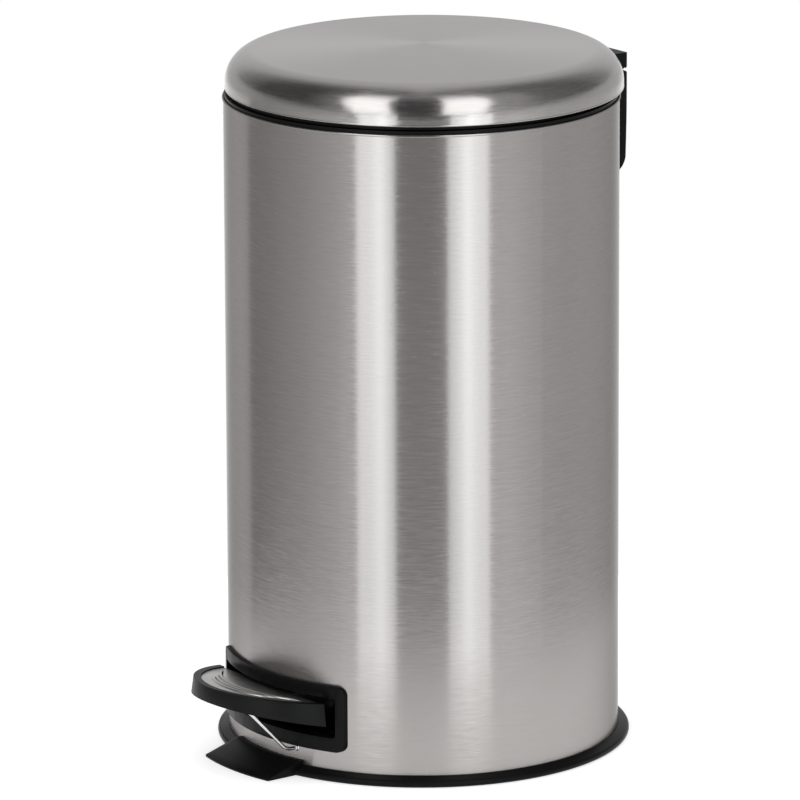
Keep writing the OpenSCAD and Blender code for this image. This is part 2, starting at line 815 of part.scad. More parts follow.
// Steel crank: an eye on the hinge pin, an arm with a slot for the push rod, and a tab on the liner
module lid_crank() {
    under_hem = hinge_z - pass;
    tab_low = liner_disc + liner_disc_t;
    eye_r = knuckle_r;
    color(bright) {
        plate_yz(link_x, crank_t) difference() {
            union() {
                translate([hinge_y, hinge_z]) circle(eye_r);
                translate([hinge_y, hinge_z]) rotate(180 + lid_open / 2) {
                    translate([0, -eye_r]) square([crank_slot_in, 2 * eye_r]);
                    slot_2d(crank_slot_in, crank_slot_out, crank_end_r);
                }
                polygon([
                    [hinge_y - 2, under_hem], [crank_tab_out, under_hem],
                    [crank_tab_out, tab_low + crank_tab_t],
                    [crank_tab_in + 16, tab_low + crank_tab_t], [crank_tab_in + 16, tab_low],
                    [rod_y - 4, rod_top], [rod_y + 8, rod_top]
                ]);
            }
            translate([hinge_y, hinge_z]) circle(d = hinge_pin_d + 2 * run);
            translate([hinge_y, hinge_z]) rotate(180 + lid_open / 2)
                slot_2d(crank_slot_in, crank_slot_out, crank_slot_r);
        }
        difference() {
            span([-16, crank_tab_in, tab_low],
                 [link_x + crank_t / 2, crank_tab_out, tab_low + crank_tab_t]);
            crank_screws_at() cylinder(d = 4 + 2 * snug, h = 40, center = true);
        }
    }
}

module crank_screws_at() {
    for (p = [[-9, crank_tab_in + 7], [6, crank_tab_in + 7], [-9, crank_tab_in + 22]])
        translate([p[0], p[1], liner_disc]) children();
}

module crank_screws() {
    color(bright) crank_screws_at() mirror([0, 0, 1])
        screw(4, liner_disc_t + crank_tab_t + 2, 7, 0.6 * rim_show);
}

// ---- Push rod ----

module push_rod() {
    r = rod_d / 2;
    leg = leg_end - rod_bend_r;
    color(bright) translate([leg_end, rod_y, rod_low]) rotate([90, 0, 180])
        straight(r, leg) elbow(r, rod_bend_r)
        straight(r, rod_top - rod_low - 2 * rod_bend_r) elbow(r, rod_bend_r) straight(r, leg);
}

module rod_clips() {
    color(black) for (z = [rod_low, rod_top])
        translate([link_x + max(crank_t, lever_t) / 2 + pass, rod_y, z])
        rotate([0, 90, 0]) difference() {
            cylinder(r = clip_r, h = clip_t);
            translate([0, 0, -1]) cylinder(d = rod_d + 2 * snug, h = clip_t + 2);
        }
}

// ---- Pedal ----

// Places a drawing of the pedal in a plane that rises to the front, h above the floor at the body
module on_pedal(h) {
    translate([0, -body_r, h]) rotate([-pedal_rise, 0, 0]) children();
}

// Round outline of the pedal at height z, set in all round
module pedal_cone(inset) {
    lean = pedal_draft / pedal_depth;
    high = 40;
    translate([0, pedal_mid - body_r, pedal_top - high])
        cylinder(r1 = pedal_r - inset + high * lean, r2 = pedal_r - inset - high * lean, h = 2 * high);
}

// Height at y of a plane that is h above the floor at the body's face and rises to the front
function rising(y, h, rise) = h - (y + body_r) * tan(rise);

// Wedge between the lower plane and the upper plane, over the pedal's whole length
module pedal_wedge(low, high, back, half = 100) {
    front = -body_r - pedal_reach - 10;
    plate_yz(0, 2 * half) polygon([
        [front, rising(front, low, skirt_rise)], [back, rising(back, low, skirt_rise)],
        [back, rising(back, high, pedal_rise)], [front, rising(front, high, pedal_rise)]
    ]);
}

// Outline of the steel plate, from the body's face at y = 0 towards -Y
module tread_2d(inset, back) {
    intersection() {
        translate([0, pedal_mid]) circle(tread_r - inset);
        translate([-tread_r, -pedal_reach]) square([2 * tread_r, pedal_reach + back]);
    }
}

module pedal_frame() {
    low = pedal_top - pedal_depth;
    back = pedal_back - body_r;
    color(black) difference() {
        union() {
            difference() {
                intersection() {
                    pedal_cone(0);
                    pedal_wedge(low, pedal_top, back);
                }
                // Hollow below, with ribs on both sides of the lever
                difference() {
                    intersection() {
                        pedal_cone(skirt_t);
                        pedal_wedge(low - 5, pedal_floor, back + 5);
                    }
                    for (s = [-1, 1]) span([s * (lever_half + 3) - 1, -body_r - pedal_reach, low + 7],
                                           [s * (lever_half + 3) + 1, back + 6, pedal_top]);
                }
            }
            // Pad that the spring wire bears on
            intersection() {
                span([wire_x - wire_across - 2, wire_end[0] - 2.5, wire_end[1] + wire_r],
                     [wire_x - wire_bend - 2, wire_end[0] + 3.5, pedal_top + 20]);
                pedal_wedge(0, pedal_floor + 0.5, back);
            }
        }
        on_pedal(pedal_top - tread_sink - tread_t) linear_extrude(20) tread_2d(0, pedal_back + 2);
        pedal_screws_at() cylinder(d = 3 + 2 * snug, h = 2 * floor_t + 1, center = true);
    }
}

module pedal_tread() {
    top = pedal_top - tread_sink;
    color(steel) {
        on_pedal(top - tread_t) linear_extrude(tread_t) tread_2d(0.15, pedal_back);
        // Raised ribs along the front edge, flatter one after the other
        on_pedal(top) for (i = [0:tread_ribs - 1]) {
            r = tread_r - rib_edge + i * rib_step_r;
            difference() {
                translate([0, r - pedal_reach + pedal_rim + rib_edge + i * tread_pitch, 0])
                    rotate([0, 0, 270 - rib_half]) rotate_extrude(angle = 2 * rib_half)
                        translate([r, -0.3]) circle(d = rib_d, $fn = 32);
                translate([-100, -100, -5 - tread_t / 2]) cube([200, 200, 5]);
            }
        }
    }
}

// Side outline of the lever's cheeks: along the pedal, down past the axle, and back under the bucket
function lever_top(y) = rising(y, pedal_floor - snug, pedal_rise);
lever_tip = -body_r - lever_front;
lever_fall = [-axle_y + 30, axle_z - 11];

module lever_side_2d() {
    polygon([
        [lever_tip, lever_top(lever_tip)], [-axle_y - 10, lever_top(-axle_y - 10)],
        [-axle_y + 9, axle_z + 5], lever_fall, lever_end + [0, lever_end_r * 0.9],
        lever_end - [0, lever_end_r * 0.9], [-axle_y + 38, rod_low + 7], [-axle_y + 12, axle_z - 11],
        [-axle_y - 10, axle_z - 6], [-axle_y - 46, axle_z], [lever_tip, lever_top(lever_tip) - 6]
    ]);
    translate([-axle_y, axle_z]) circle(lever_boss_r);
    translate(lever_end) circle(lever_end_r);
}

// The web that joins the cheeks, as a band along their top
module lever_web_2d() {
    web_end = rod_y - 16;
    fall = lever_end + [0, lever_end_r * 0.9] - lever_fall;
    end_z = lever_fall[1] + fall[1] * (web_end - lever_fall[0]) / fall[0];
    top = [
        [lever_tip, lever_top(lever_tip)], [-axle_y - 10, lever_top(-axle_y - 10)],
        [-axle_y + 9, axle_z + 5], lever_fall, [web_end, end_z]
    ];
    n = len(top) - 1;
    polygon(concat(top, [for (i = [n:-1:0]) top[i] - [i == 2 || i == 3 ? lever_t * 0.6 : 0, lever_t]]));
}

module pedal_lever() {
    color(bright) difference() {
        union() {
            for (s = [-1, 1]) plate_yz(s * (lever_half - lever_t / 2), lever_t) difference() {
                lever_side_2d();
                translate([-axle_y, axle_z]) rotate(lever_arm_a)
                    slot_2d(lever_slot[0], lever_slot[1], lever_slot_r);
            }
            plate_yz(0, 2 * lever_half) lever_web_2d();
        }
        translate([-50, -axle_y, axle_z]) rotate([0, 90, 0]) cylinder(d = axle_d + 2 * run, h = 100);
        pedal_screws_at() cylinder(d = 3 + 2 * snug, h = 12, center = true);
    }
}

module pedal_screws_at() {
    for (x = [-1, 1], y = screw_y) on_pedal(pedal_floor) translate([x * screw_x, -y, 0]) children();
}

module pedal_screws() {
    color(bright) pedal_screws_at() mirror([0, 0, 1]) translate([0, 0, lever_t + 2 * snug])
        screw(3, lever_t + floor_t - 0.4, 6, 1.6);
}

body_shell();
base_ring();
base_plate();
base_screws();
stabiliser_foot();
pedal_surround();
axle_bracket();
bracket_screws();
pedal_axle();
axle_clips();
axle_spacers();
return_spring();
rod_guides();
rim_ring();
lid_buffers();
bucket();
bucket_bail();
bail_grip();
hinge_housing();
hinge_pin();
housing_screws();
lid_shell();
lid_liner();
hinge_cap();
cap_screws();
lid_crank();
crank_screws();
push_rod();
rod_clips();
pedal_frame();
pedal_tread();
pedal_lever();
pedal_screws();
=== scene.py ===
"""Looks of a round brushed-steel pedal bin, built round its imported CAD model.

Metres, +Z up, pedal towards -Y.
"""

import math

import bmesh
import bpy
from mathutils import Matrix, Vector


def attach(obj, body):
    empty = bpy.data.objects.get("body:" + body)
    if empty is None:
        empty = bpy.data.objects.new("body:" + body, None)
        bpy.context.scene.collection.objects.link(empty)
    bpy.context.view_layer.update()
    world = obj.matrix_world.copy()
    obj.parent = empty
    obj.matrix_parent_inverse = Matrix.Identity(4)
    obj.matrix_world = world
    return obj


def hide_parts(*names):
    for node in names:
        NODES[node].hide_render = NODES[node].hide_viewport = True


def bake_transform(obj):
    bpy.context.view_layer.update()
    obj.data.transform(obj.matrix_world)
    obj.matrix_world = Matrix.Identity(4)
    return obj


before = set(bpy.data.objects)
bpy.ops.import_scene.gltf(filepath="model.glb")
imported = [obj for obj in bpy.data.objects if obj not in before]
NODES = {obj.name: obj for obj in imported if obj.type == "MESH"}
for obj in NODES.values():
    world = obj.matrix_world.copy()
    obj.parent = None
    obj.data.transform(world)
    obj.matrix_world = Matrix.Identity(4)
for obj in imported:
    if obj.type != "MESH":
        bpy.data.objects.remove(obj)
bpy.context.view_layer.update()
bpy.context.scene.view_settings.view_transform = "Standard"

# Camera: where it stands round the bin, how far off, how high, and how it is turned
AZIMUTH = math.radians(53.3)
CAM_DIST = 5.479
CAM_HEIGHT = 1.6306
CAM_PITCH = 0.24603
CAM_YAW = -0.00304
CAM_ROLL = -0.00422
CAM_LENS = 341.86
CAM_CLIP = 50

# Light level away from the lamps, and the floor's grey, glow and radius
WORLD_LIGHT = 0.55
FLOOR_GREY = 0.86
FLOOR_ROUGH = 0.9
FLOOR_GLOW = 0.62
FLOOR_R = 0.46
FLOOR_SIDES = 96

# Upright strip lamps: height of the middle, length, and colour
STRIP_MID = 0.12
STRIP_TALL = 1.26
STRIP_COLOUR = (0.95, 1, 1)
# Each strip: degrees from the camera's side to its middle, its width, and degrees to its bright core
STRIPS = {"left": (-26.0, 0.78, -23.2), "right": (26.2, 0.84, 25.4)}
# Its lamp, and the two narrower ones in front that make the core: distance and watts per square metre
WIDE_DIST, WIDE_LEVEL = 2.0, 3.9
# Name, distance, width and level
CORE_LAMPS = (("half", 1.9, 0.4, 0.7), ("core", 1.8, 0.16, 1.2))

# Soft lamp overhead: degrees, distance, height, side, watts, and the height that it aims at
TOP_LAMP = (-30, 0.4, 3.2, 1.6, 12, 0.3)

# Graded card that stands round the bin and closes over it. Each level has a height, a radius, its greys,
# and how far those in front spread sideways
CARD_R = 2.6
CARD_SIDES = 360
CARD_LEVELS = (
    (-1.6, CARD_R, "low", 1), (0.05, CARD_R, "low", 1), (0.3, CARD_R, "mid", 1), (0.9, CARD_R, "mid", 1),
    (1.0, CARD_R, "high", 1), (1.2, CARD_R, "high", 1.02), (1.6, CARD_R, "high", 1.1),
    (2.0, CARD_R, "high", 1.18), (2.5, CARD_R, "high", 1.27), (3.0, 2.5, "high", 1.36),
    (3.5, 2.2, "high", 1.45), (4.2, 1.1, "top", 1), (4.5, 0.01, "top", 1))
# Half angle of the part of the greys that spreads
CARD_FRONT = 50
# Degrees from the camera's side, and grey
CARD_GREYS = {
    "low": ((-180, 1.1), (-158, 1.1), (-147, 0.9), (-128, 0.78), (-119, 0.66), (-117, 0.36), (-98, 0.41),
            (-73, 0.54), (-60, 0.66), (-45, 0.79), (-38, 0.79), (-15, 0.45), (14, 0.45), (40, 0.88),
            (49, 0.93), (60, 0.84), (75, 0.68), (90, 0.64), (120, 0.68), (142, 0.76), (156, 1.1), (180, 1.1)),
    "mid": ((-180, 0.68), (-128, 0.55), (-98, 0.41), (-73, 0.45), (-45, 0.5), (-38, 0.5), (-15, 0.13),
            (14, 0.13), (40, 0.7), (60, 0.7), (90, 0.6), (140, 0.6), (180, 0.68)),
    "high": ((-180, 0.74), (-152, 0.62), (-135, 0.32), (-112, 0.1), (-70, 0.08), (-52, 0.24), (-43, 0.3),
             (-41.5, 2.2), (-18.5, 2.2), (-17, 0.08), (9, 0.08), (10.5, 2.2), (33.5, 2.2), (35, 0.48),
             (52, 0.46), (70, 0.22), (112, 0.16), (135, 0.34), (152, 0.62), (180, 0.74)),
    "top": ((-180, 0.65), (-140, 0.35), (-100, 0.15), (-60, 0.22), (0, 0.4), (60, 0.25), (100, 0.15),
            (140, 0.35), (180, 0.65)),
}

# Sizes shared by several pieces
BODY_R = 0.146
LID_BACK = 0.0027
PEDAL_TOP = 0.0602
PEDAL_RISE = math.radians(7.4)
TREAD_SINK = 0.0008
TREAD_THICK = 0.0012
TREAD_EDGE = 0.0004
TREAD_R = 0.0609
TREAD_MID = 0.0165
TREAD_BACK = 0.006
# Ribs of the pedal's plate: radius, front in the pedal's plane, and half angle
TREAD_RIBS = ((0.0509, -0.0344, 46), (0.0593, -0.0294, 44), (0.0677, -0.0244, 50))
RIB_W = 0.0032
RIB_H = 0.0014
# Degrees over which a rib runs out at each end, and how far its foot is sunk into the plate
RIB_FADE = 11
RIB_SINK = 0.0001
BEAD_MID = 0.4862
BEAD_R = 0.00086
SPRING_CORNERS = ((0.034, -0.1215, 0.0189), (0.034, -0.1516, 0.0194), (0.034, -0.1836, 0.053),
                  (0.0225, -0.1836, 0.053))
SPRING_BENDS = (0.011, 0.0036)
SPRING_R = 0.0014
# Eyelet where the wire enters the body: radius and height over the steel
EYE = ((0, -0.001), (0.0027, -0.001), (0.0027, 0.0003), (0.0024, 0.0005), (0.002, 0.0006), (0.002, 0.0014),
       (0.0018, 0.0016), (0, 0.0016))
# Radius of the edges of the black mouldings
SOFT_EDGES = {"pedal_surround": 0.0006, "stabiliser_foot": 0.0005, "hinge_housing": 0.0007,
              "hinge_cap": 0.0007, "pedal_frame": 0.0007}
SOFT_STEPS = 3


# ---- Mesh helpers ----

def new_piece(name, verts, faces, material, smooth=True):
    """A mesh object from plain lists, with one material."""
    mesh = bpy.data.meshes.new(name)
    mesh.from_pydata(verts, [], faces)
    mesh.validate()
    mesh.update()
    obj = bpy.data.objects.new(name, mesh)
    bpy.context.scene.collection.objects.link(obj)
    mesh.materials.append(material)
    for poly in mesh.polygons:
        poly.use_smooth = smooth
    return obj


def fix_normals(obj):
    """Joins doubled points and turns all faces outwards."""
    bm = bmesh.new()
    bm.from_mesh(obj.data)
    bmesh.ops.remove_doubles(bm, verts=bm.verts, dist=1e-6)
    bmesh.ops.recalc_face_normals(bm, faces=bm.faces)
    bm.to_mesh(obj.data)
    bm.free()


# ---- Node helpers ----

def new_material(name):
    mat = bpy.data.materials.new(name)
    mat.use_nodes = True
    return mat, mat.node_tree, mat.node_tree.nodes["Principled BSDF"]


def node(tree, kind, **props):
    n = tree.nodes.new(kind)
    for key, value in props.items():
        setattr(n, key, value)
    return n


def feed(tree, n, values):
    """Puts numbers or other nodes' outputs into the first inputs of a node, and returns its output."""
    for socket, v in zip(n.inputs, values):
        if isinstance(v, (int, float)):
            socket.default_value = v
        else:
            tree.links.new(v, socket)
    return n.outputs[0]


def maths(tree, op, *values):
    return feed(tree, node(tree, "ShaderNodeMath", operation=op), values)


def combine(tree, x, y, z):
    return feed(tree, node(tree, "ShaderNodeCombineXYZ"), (x, y, z))


def noise(tree, vector, scale, detail=3.0, rough=0.5):
    n = node(tree, "ShaderNodeTexNoise")
    tree.links.new(vector, n.inputs["Vector"])
    n.inputs["Scale"].default_value = scale
    n.inputs["Detail"].default_value = detail
    n.inputs["Roughness"].default_value = rough
    return n.outputs["Fac"]


def remap(tree, value, lo, hi, to_lo, to_hi):
    n = node(tree, "ShaderNodeMapRange")
    tree.links.new(value, n.inputs["Value"])
    for key, v in (("From Min", lo), ("From Max", hi), ("To Min", to_lo), ("To Max", to_hi)):
        n.inputs[key].default_value = v
    return n.outputs["Result"]


def mix_colour(tree, fac, a, b):
    n = node(tree, "ShaderNodeMix", data_type="RGBA")
    tree.links.new(fac, n.inputs[0])
    n.inputs[6].default_value = (*a, 1)
    n.inputs[7].default_value = (*b, 1)
    return n.outputs[2]


def object_xyz(tree):
    coord = node(tree, "ShaderNodeTexCoord").outputs["Object"]
    sep = node(tree, "ShaderNodeSeparateXYZ")
    tree.links.new(coord, sep.inputs[0])
    return coord, sep.outputs[0], sep.outputs[1], sep.outputs[2]


def bump(tree, height, strength, distance, bsdf):
    n = node(tree, "ShaderNodeBump")
    n.inputs["Strength"].default_value = strength
    n.inputs["Distance"].default_value = distance
    tree.links.new(height, n.inputs["Height"])
    tree.links.new(n.outputs["Normal"], bsdf.inputs["Normal"])


# ---- Materials ----

# Grey of brushed steel seen at a low angle, on the wall and on the lid
WALL_EDGE = 0.5
LID_EDGE = 0.95
# Brush marks: noise per metre along a mark and across it, detail, roughness, and share
FINE_MARKS = (80, 1000, 4.0, 0.6, 0.85)
COARSE_MARKS = (12, 420, 3.0, 0.55, 0.15)
CLOUD_SCALE, CLOUD_SHARE = 9.0, 0.15
# How far the marks change the colour and the roughness, and how strong they are as a relief
MARK_COLOUR = 0.09
MARK_ROUGH = 0.06
MARK_RELIEF = 0.1


def marks(tree, x, y, across, kind):
    """Noise drawn out along the brush marks, and its share of the whole."""
    per_along, per_across, detail, rough, share = kind
    where = combine(tree, maths(tree, "MULTIPLY", x, per_along), maths(tree, "MULTIPLY", y, per_along),
                    maths(tree, "MULTIPLY", across, per_across))
    value = noise(tree, where, 1.0, detail, rough)
    return value, maths(tree, "MULTIPLY", value, share)


def brushed_round(name, colour, roughness, anisotropy, edge, back=0.0):
    """Steel brushed in circles round an upright axis, on walls and tops alike."""
    mat, tree, bsdf = new_material(name)
    coord, x, y, z = object_xyz(tree)
    y = maths(tree, "SUBTRACT", y, back)
    square = maths(tree, "ADD", maths(tree, "MULTIPLY", x, x), maths(tree, "MULTIPLY", y, y))
    radius = maths(tree, "SQRT", square)
    across = maths(tree, "SUBTRACT", radius, z)
    fine, fine_part = marks(tree, x, y, across, FINE_MARKS)
    coarse_part = marks(tree, x, y, across, COARSE_MARKS)[1]
    cloud = maths(tree, "SUBTRACT", noise(tree, coord, CLOUD_SCALE, 2.0), 0.5)
    both = maths(tree, "ADD", maths(tree, "ADD", fine_part, coarse_part),
                 maths(tree, "MULTIPLY", cloud, CLOUD_SHARE))
    dark = tuple(c * (1 - MARK_COLOUR) for c in colour)
    light = tuple(c * (1 + MARK_COLOUR) for c in colour)
    shade = mix_colour(tree, remap(tree, both, 0.3, 0.7, 0, 1), dark, light)
    tree.links.new(shade, bsdf.inputs["Base Color"])
    rough = remap(tree, both, 0.3, 0.7, roughness - MARK_ROUGH, roughness + MARK_ROUGH)
    tree.links.new(rough, bsdf.inputs["Roughness"])
    bsdf.inputs["Metallic"].default_value = 1
    bsdf.inputs["Anisotropic"].default_value = anisotropy
    bsdf.inputs["Specular Tint"].default_value = (edge, edge, edge, 1)
    safe = maths(tree, "MAXIMUM", radius, 1e-4)
    tangent = combine(tree, maths(tree, "DIVIDE", x, safe), maths(tree, "DIVIDE", y, safe), -1.0)
    tree.links.new(tangent, bsdf.inputs["Tangent"])
    bump(tree, fine, MARK_RELIEF, 0.0001, bsdf)
    return mat


def plain_metal(name, colour, roughness, grain=0.05):
    """Unbrushed steel with faint clouds and a fine grain."""
    mat, tree, bsdf = new_material(name)
    coord, *_ = object_xyz(tree)
    n = noise(tree, coord, 60, 4)
    dark = tuple(c * 0.9 for c in colour)
    tree.links.new(mix_colour(tree, n, dark, colour), bsdf.inputs["Base Color"])
    tree.links.new(remap(tree, n, 0.3, 0.7, roughness - 0.04, roughness + 0.06), bsdf.inputs["Roughness"])
    bsdf.inputs["Metallic"].default_value = 1
    bump(tree, noise(tree, coord, 900, 2), grain, 0.0002, bsdf)
    return mat


def moulded(name, colour, roughness, grain=0.15, shine=0.25):
    """Moulded plastic or rubber with faint clouds and a fine grain."""
    mat, tree, bsdf = new_material(name)
    coord, *_ = object_xyz(tree)
    cloud = noise(tree, coord, 18, 3)
    fine = noise(tree, coord, 1400, 2)
    light = tuple(c * 1.25 + 0.002 for c in colour)
    tree.links.new(mix_colour(tree, cloud, colour, light), bsdf.inputs["Base Color"])
    tree.links.new(remap(tree, cloud, 0.3, 0.7, roughness - 0.05, roughness + 0.06), bsdf.inputs["Roughness"])
    bump(tree, fine, grain, 0.00015, bsdf)
    bsdf.inputs["Specular IOR Level"].default_value = shine
    return mat


BODY_STEEL = brushed_round("body_steel", (0.41, 0.39, 0.382), 0.22, 0.9, WALL_EDGE)
LID_STEEL = brushed_round("lid_steel", (0.46, 0.443, 0.436), 0.2, 0.85, LID_EDGE, LID_BACK)
TREAD_STEEL = plain_metal("tread_steel", (0.62, 0.61, 0.6), 0.34, 0.015)
WIRE_STEEL = plain_metal("wire_steel", (0.78, 0.78, 0.78), 0.24, 0.02)
ZINC = plain_metal("zinc_steel", (0.55, 0.56, 0.57), 0.32)
BLACK = moulded("black_plastic", (0.004, 0.004, 0.0042), 0.36, shine=0.1)
PEDAL_BLACK = moulded("pedal_plastic", (0.006, 0.006, 0.0064), 0.42, shine=0.14)
BUCKET_BLACK = moulded("bucket_plastic", (0.02, 0.02, 0.021), 0.5, 0.3)
WHITE = moulded("white_nylon", (0.62, 0.62, 0.6), 0.4)
RUBBER = moulded("buffer_rubber", (0.02, 0.02, 0.02), 0.6)

# Nodes named nowhere here are zinc-plated
NODE_MATERIAL = {
    "body_shell": BODY_STEEL, "lid_shell": LID_STEEL, "pedal_tread": TREAD_STEEL,
    "return_spring": WIRE_STEEL, "pedal_frame": PEDAL_BLACK, "bucket": BUCKET_BLACK,
    "lid_buffers": RUBBER, "axle_spacers": WHITE, "rod_clips": WHITE,
}
for name in ("base_ring", "base_plate", "stabiliser_foot", "pedal_surround", "rod_guides", "rim_ring",
             "bail_grip", "hinge_housing", "lid_liner", "hinge_cap"):
    NODE_MATERIAL[name] = BLACK
for name, obj in NODES.items():
    for slot in obj.material_slots:
        slot.material = NODE_MATERIAL.get(name, ZINC)


# ---- Pieces ----

def lathe(name, profile, material, turns=256):
    """Closed ring turned from a closed outline of radius and height, in metres."""
    verts, faces = [], []
    m = len(profile)
    for i in range(turns):
        a = 2 * math.pi * i / turns
        verts += [(rad * math.cos(a), rad * math.sin(a), z) for rad, z in profile]
    for i in range(turns):
        for j in range(m):
            k, j2 = (i + 1) % turns, (j + 1) % m
            faces.append((i * m + j, k * m + j, k * m + j2, i * m + j2))
    piece = new_piece(name, verts, faces, material)
    fix_normals(piece)
    return piece


def circle_outline(rad, z, r, n=24):
    """Outline of a ring's round section, as radius and height."""
    angles = [2 * math.pi * i / n for i in range(n)]
    return [(rad + r * math.cos(a), z + r * math.sin(a)) for a in angles]


def soften(name, width):
    """Rounds the sharp edges of a CAD node, as a moulding has them."""
    obj = NODES[name]
    weld = obj.modifiers.new("weld", "WELD")
    weld.merge_threshold = 1e-5
    bevel = obj.modifiers.new("bevel", "BEVEL")
    bevel.width = width
    bevel.segments = SOFT_STEPS
    bevel.limit_method = "ANGLE"
    bevel.angle_limit = math.radians(35)
    bevel.use_clamp_overlap = True
    bevel.harden_normals = True


def fillet(corners, radii, steps=10):
    """Points along straight legs, with each inner corner rounded."""
    points = [Vector(corners[0])]
    for before, corner, after, radius in zip(corners, corners[1:], corners[2:], radii):
        corner = Vector(corner)
        u = (Vector(before) - corner).normalized()
        v = (Vector(after) - corner).normalized()
        half = u.angle(v) / 2
        centre = corner + (u + v).normalized() * radius / math.sin(half)
        first = corner + u * radius / math.tan(half) - centre
        last = corner + v * radius / math.tan(half) - centre
        sweep = first.angle(last)
        for i in range(steps + 1):
            t = i / steps
            mixed = (first * math.sin((1 - t) * sweep) + last * math.sin(t * sweep)) / math.sin(sweep)
            points.append(centre + mixed)
    points.append(Vector(corners[-1]))
    return points


def tube_along(name, points, radius, material, sides=16, split=0.0015):
    """Round wire along points, with rounded ends."""
    dense = [points[0]]
    for a, b in zip(points, points[1:]):
        n = max(1, round((b - a).length / split))
        dense += [a.lerp(b, i / n) for i in range(1, n + 1)]
    last = len(dense) - 1
    tangents = [(dense[min(i + 1, last)] - dense[max(i - 1, 0)]).normalized() for i in range(last + 1)]
    rings = []
    for i in (0.0, 0.35, 0.7):
        rings.append((dense[0] - tangents[0] * radius * (1 - i) * 0.6, tangents[0], radius * math.sqrt(i)))
    rings += [(p, t, radius) for p, t in zip(dense, tangents)]
    for i in (0.7, 0.35, 0.0):
        rings.append((dense[-1] + tangents[-1] * radius * (1 - i) * 0.6, tangents[-1], radius * math.sqrt(i)))
    side = tangents[0].orthogonal().normalized()
    verts, faces = [], []
    for p, t, rad in rings:
        side = (side - t * side.dot(t)).normalized()
        other = t.cross(side)
        for k in range(sides):
            a = 2 * math.pi * k / sides
            verts.append(p + (side * math.cos(a) + other * math.sin(a)) * max(rad, 1e-5))
    for i in range(len(rings) - 1):
        for k in range(sides):
            n = (k + 1) % sides
            faces.append((i * sides + k, i * sides + n, (i + 1) * sides + n, (i + 1) * sides + k))
    faces.append(list(range(sides)))
    faces.append(list(range((len(rings) - 1) * sides, len(rings) * sides)))
    piece = new_piece(name, verts, faces, material)
    fix_normals(piece)
    return piece


def on_pedal(x, y, z):
    """A point in the plane of the pedal's top edge, y from the body's face, in metres."""
    c, s = math.cos(PEDAL_RISE), math.sin(PEDAL_RISE)
    return Vector((x, -BODY_R + y * c + z * s, PEDAL_TOP - y * s + z * c))


def make_bead():
    """Rolled bead round the top edge of the body."""
    bead = lathe("top_bead", circle_outline(BODY_R, BEAD_MID, BEAD_R), BODY_STEEL)
    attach(bead, "bin")


def make_tread():
    """Steel plate let into the pedal, with three pressed ribs that run out at both ends."""
    top, thick, edge = -TREAD_SINK, TREAD_THICK, TREAD_EDGE
    cut = math.asin((TREAD_MID - TREAD_BACK) / TREAD_R)
    n = 72
    outline = [(math.pi + cut) + (math.pi - 2 * cut) * i / n for i in range(n + 1)]
    levels = ((0, top - thick), (0, top - edge), (edge * 0.3, top - edge * 0.3), (edge, top))
    verts, faces = [], []
    for inset, z in levels:
        for a in outline:
            x, y = (TREAD_R - inset) * math.cos(a), TREAD_MID + (TREAD_R - inset) * math.sin(a)
            verts.append(on_pedal(x, min(y, TREAD_BACK - inset), z))
    m = n + 1
    for i in range(len(levels) - 1):
        for j in range(m):
            k = (j + 1) % m
            faces.append((i * m + j, i * m + k, (i + 1) * m + k, (i + 1) * m + j))
    faces.append(list(range(m)))
    faces.append(list(range((len(levels) - 1) * m, len(levels) * m)))
    for radius, front, half in TREAD_RIBS:
        base = len(verts)
        steps, across = 64, 10
        for i in range(steps + 1):
            a = math.radians(-half + 2 * half * i / steps)
            fade = min(1, (half - abs(math.degrees(a))) / RIB_FADE)
            fade = fade * fade * (3 - 2 * fade)
            for j in range(across + 1):
                q = math.pi * j / across
                rad = radius + RIB_W / 2 * (0.25 + 0.75 * fade) * math.cos(q)
                lift = (math.sin(q) ** 1.3) * RIB_H * fade - RIB_SINK
                place = (rad * math.sin(a), front + radius - rad * math.cos(a), top + lift)
                verts.append(on_pedal(*place))
        for i in range(steps):
            for j in range(across):
                first = base + i * (across + 1) + j
                faces.append((first, first + 1, first + across + 2, first + across + 1))
    tread = new_piece("tread_plate", verts, faces, TREAD_STEEL)
    fix_normals(tread)
    tread.data.set_sharp_from_angle(angle=math.radians(50))
    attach(tread, "pedal")
    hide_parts("pedal_tread")


def make_spring():
    """Spring wire from its eyelet in the body to the pedal."""
    low, bend, high, end = SPRING_CORNERS
    points = fillet((low, bend, high, end), SPRING_BENDS)
    spring = tube_along("spring_wire", points, SPRING_R, WIRE_STEEL)
    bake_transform(spring)
    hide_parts("return_spring")


def make_eye():
    """Eyelet where the wire enters the body, square to the steel."""
    x, z = SPRING_CORNERS[0][0], SPRING_CORNERS[1][2]
    place = Vector((x, -math.sqrt(BODY_R ** 2 - x ** 2), z))
    out = Vector((place.x, place.y, 0)).normalized()
    eye = lathe("wire_eye", EYE, WIRE_STEEL, turns=32)
    turn = Vector((0, 0, 1)).rotation_difference(out).to_matrix().to_4x4()
    eye.data.transform(Matrix.Translation(place) @ turn)
    eye.data.set_sharp_from_angle(angle=math.radians(40))
    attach(eye, "bin")


make_bead()
make_tread()
make_spring()
make_eye()
for name, width in SOFT_EDGES.items():
    soften(name, width)


# ---- Camera, lights, floor ----

